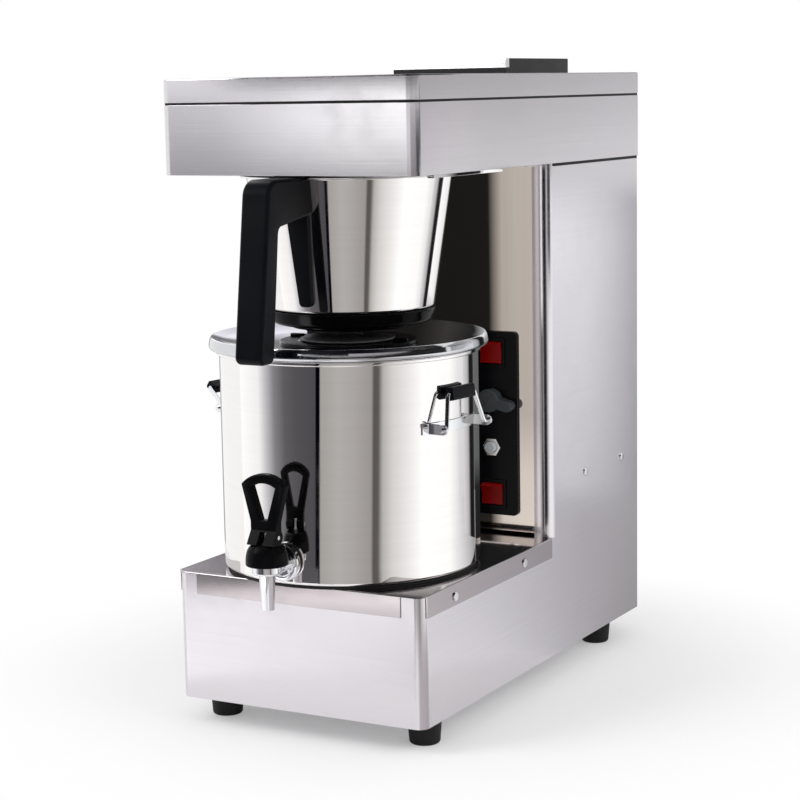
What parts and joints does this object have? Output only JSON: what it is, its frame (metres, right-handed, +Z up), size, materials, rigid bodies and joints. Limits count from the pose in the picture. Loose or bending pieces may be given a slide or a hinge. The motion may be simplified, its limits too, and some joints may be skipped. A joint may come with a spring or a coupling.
{
  "type": "filter coffee brewer",
  "caption": "Countertop filter coffee brewer with a sheet steel cabinet, a pull-out brew basket, an urn with a lever faucet and swing handles, and a hinged fill lid.",
  "frame": {"origin": "on the counter, under the middle of the cabinet", "axes": "+X to the right seen from the front, +Y to the back, +Z up"},
  "size_m": [0.3029, 0.574, 0.6114],
  "materials": {
    "cabinet_steel": "satin brushed",
    "bright_steel": "polished",
    "black_plastic": "fine satin",
    "red_plastic": "glossy, clear tinted",
    "button_plastic": "glossy",
    "black_rubber": "matte",
    "warmer_coat": "dark coating"
  },
  "bodies": {
    "cabinet": {"body_shell": "cabinet_steel", "bottom_plate": "cabinet_steel", "rubber_feet": "black_rubber", "cabinet_screws": "bright_steel", "deck_plate": "cabinet_steel", "warmer_plate": "warmer_coat", "warmer_element": "bright_steel", "column_panel": "cabinet_steel", "control_panel": "black_plastic", "switch_frames": "black_plastic", "switch_bodies": "black_plastic", "button_nut": "bright_steel", "back_panel": "cabinet_steel", "cable_gland": "black_plastic", "head_band": "cabinet_steel", "head_floor": "cabinet_steel", "cover_seal": "black_rubber", "top_cover": "cabinet_steel", "fill_basin": "black_plastic", "hinge_leaves": "bright_steel", "hinge_pins": "bright_steel", "basket_rails": "cabinet_steel", "tank_shelf": "cabinet_steel", "water_tank": "bright_steel", "heating_element": "bright_steel", "thermostat": "bright_steel", "fill_tube": "bright_steel", "outlet_tube": "bright_steel", "spray_head": "bright_steel"},
    "fill_lid": {"fill_lid": "black_plastic", "lid_lip": "bright_steel"},
    "upper_rocker": {"upper_rocker": "red_plastic"},
    "lower_rocker": {"lower_rocker": "red_plastic"},
    "selector_knob": {"selector_knob": "black_plastic"},
    "push_button": {"push_button": "button_plastic"},
    "basket": {"basket_cone": "bright_steel", "basket_base": "black_plastic", "filter_screen": "bright_steel", "basket_handle": "black_plastic", "handle_screws": "bright_steel"},
    "urn": {"urn_shell": "bright_steel", "urn_base_ring": "black_rubber", "urn_liner": "bright_steel", "rim_gasket": "black_rubber", "urn_top": "bright_steel", "faucet_body": "bright_steel", "faucet_seal": "black_rubber", "faucet_nut": "bright_steel", "faucet_bonnet": "black_plastic", "bail_brackets": "bright_steel"},
    "urn_lid": {"urn_lid": "black_plastic", "lid_cap": "black_plastic"},
    "valve": {"seat_cup": "black_rubber", "valve_stem": "bright_steel", "lever_pin": "bright_steel"},
    "lever": {"faucet_lever": "black_plastic"},
    "right_bail": {"right_bail": "bright_steel", "right_grip": "black_plastic"},
    "left_bail": {"left_bail": "bright_steel", "left_grip": "black_plastic"}
  },
  "joints": [
    {"name": "fill_lid_hinge", "type": "hinge", "parent": "cabinet", "child": "fill_lid", "pos_m": [0, 0.2256, 0.6], "axis": [-1, 0, 0], "range_deg": [0, 100]},
    {"name": "upper_rocker_tilt", "type": "hinge", "parent": "cabinet", "child": "upper_rocker", "pos_m": [0.067, 0.0234, 0.326], "axis": [-1, 0, 0], "range_deg": [0, 16]},
    {"name": "lower_rocker_tilt", "type": "hinge", "parent": "cabinet", "child": "lower_rocker", "pos_m": [0.067, 0.0234, 0.185], "axis": [-1, 0, 0], "range_deg": [0, 16]},
    {"name": "selector_turn", "type": "hinge", "parent": "cabinet", "child": "selector_knob", "pos_m": [0.067, 0.0222, 0.279], "axis": [0, -1, 0], "range_deg": [-60, 60]},
    {"name": "button_press", "type": "slide", "parent": "cabinet", "child": "push_button", "axis": [0, 1, 0], "range_m": [0, 0.003], "stiffness_N_per_m": 300},
    {"name": "basket_slide", "type": "slide", "parent": "cabinet", "child": "basket", "axis": [0, -1, 0], "range_m": [0, 0.225]},
    {"name": "urn_slide", "type": "slide", "parent": "cabinet", "child": "urn", "axis": [1, 0, 0], "range_m": [0, 0.31]},
    {"name": "urn_lid_twist", "type": "hinge", "parent": "urn", "child": "urn_lid", "pos_m": [0, -0.1415, 0.355], "axis": [0, 0, 1], "range_deg": [0, 45]},
    {"name": "lever_tilt", "type": "hinge", "parent": "valve", "child": "lever", "pos_m": [0, -0.292, 0.1976], "axis": [1, 0, 0], "range_deg": [0, 28], "stiffness_Nm_per_rad": 0.05},
    {"name": "stem_lift", "type": "slide", "parent": "urn", "child": "valve", "axis": [0, 0, 1], "range_m": [0, 0.004]},
    {"name": "right_bail_swing", "type": "hinge", "parent": "urn", "child": "right_bail", "pos_m": [0.12973, -0.15973, 0.285], "axis": [0.1392, 0.9903, 0], "range_deg": [-1, 170]},
    {"name": "left_bail_swing", "type": "hinge", "parent": "urn", "child": "left_bail", "pos_m": [-0.12973, -0.12327, 0.285], "axis": [-0.1392, -0.9903, 0], "range_deg": [-68, 103]}
  ],
  "couplings": [
    {"joint": "stem_lift", "follows": "lever_tilt", "m_per_rad": 0.0081851}
  ]
}
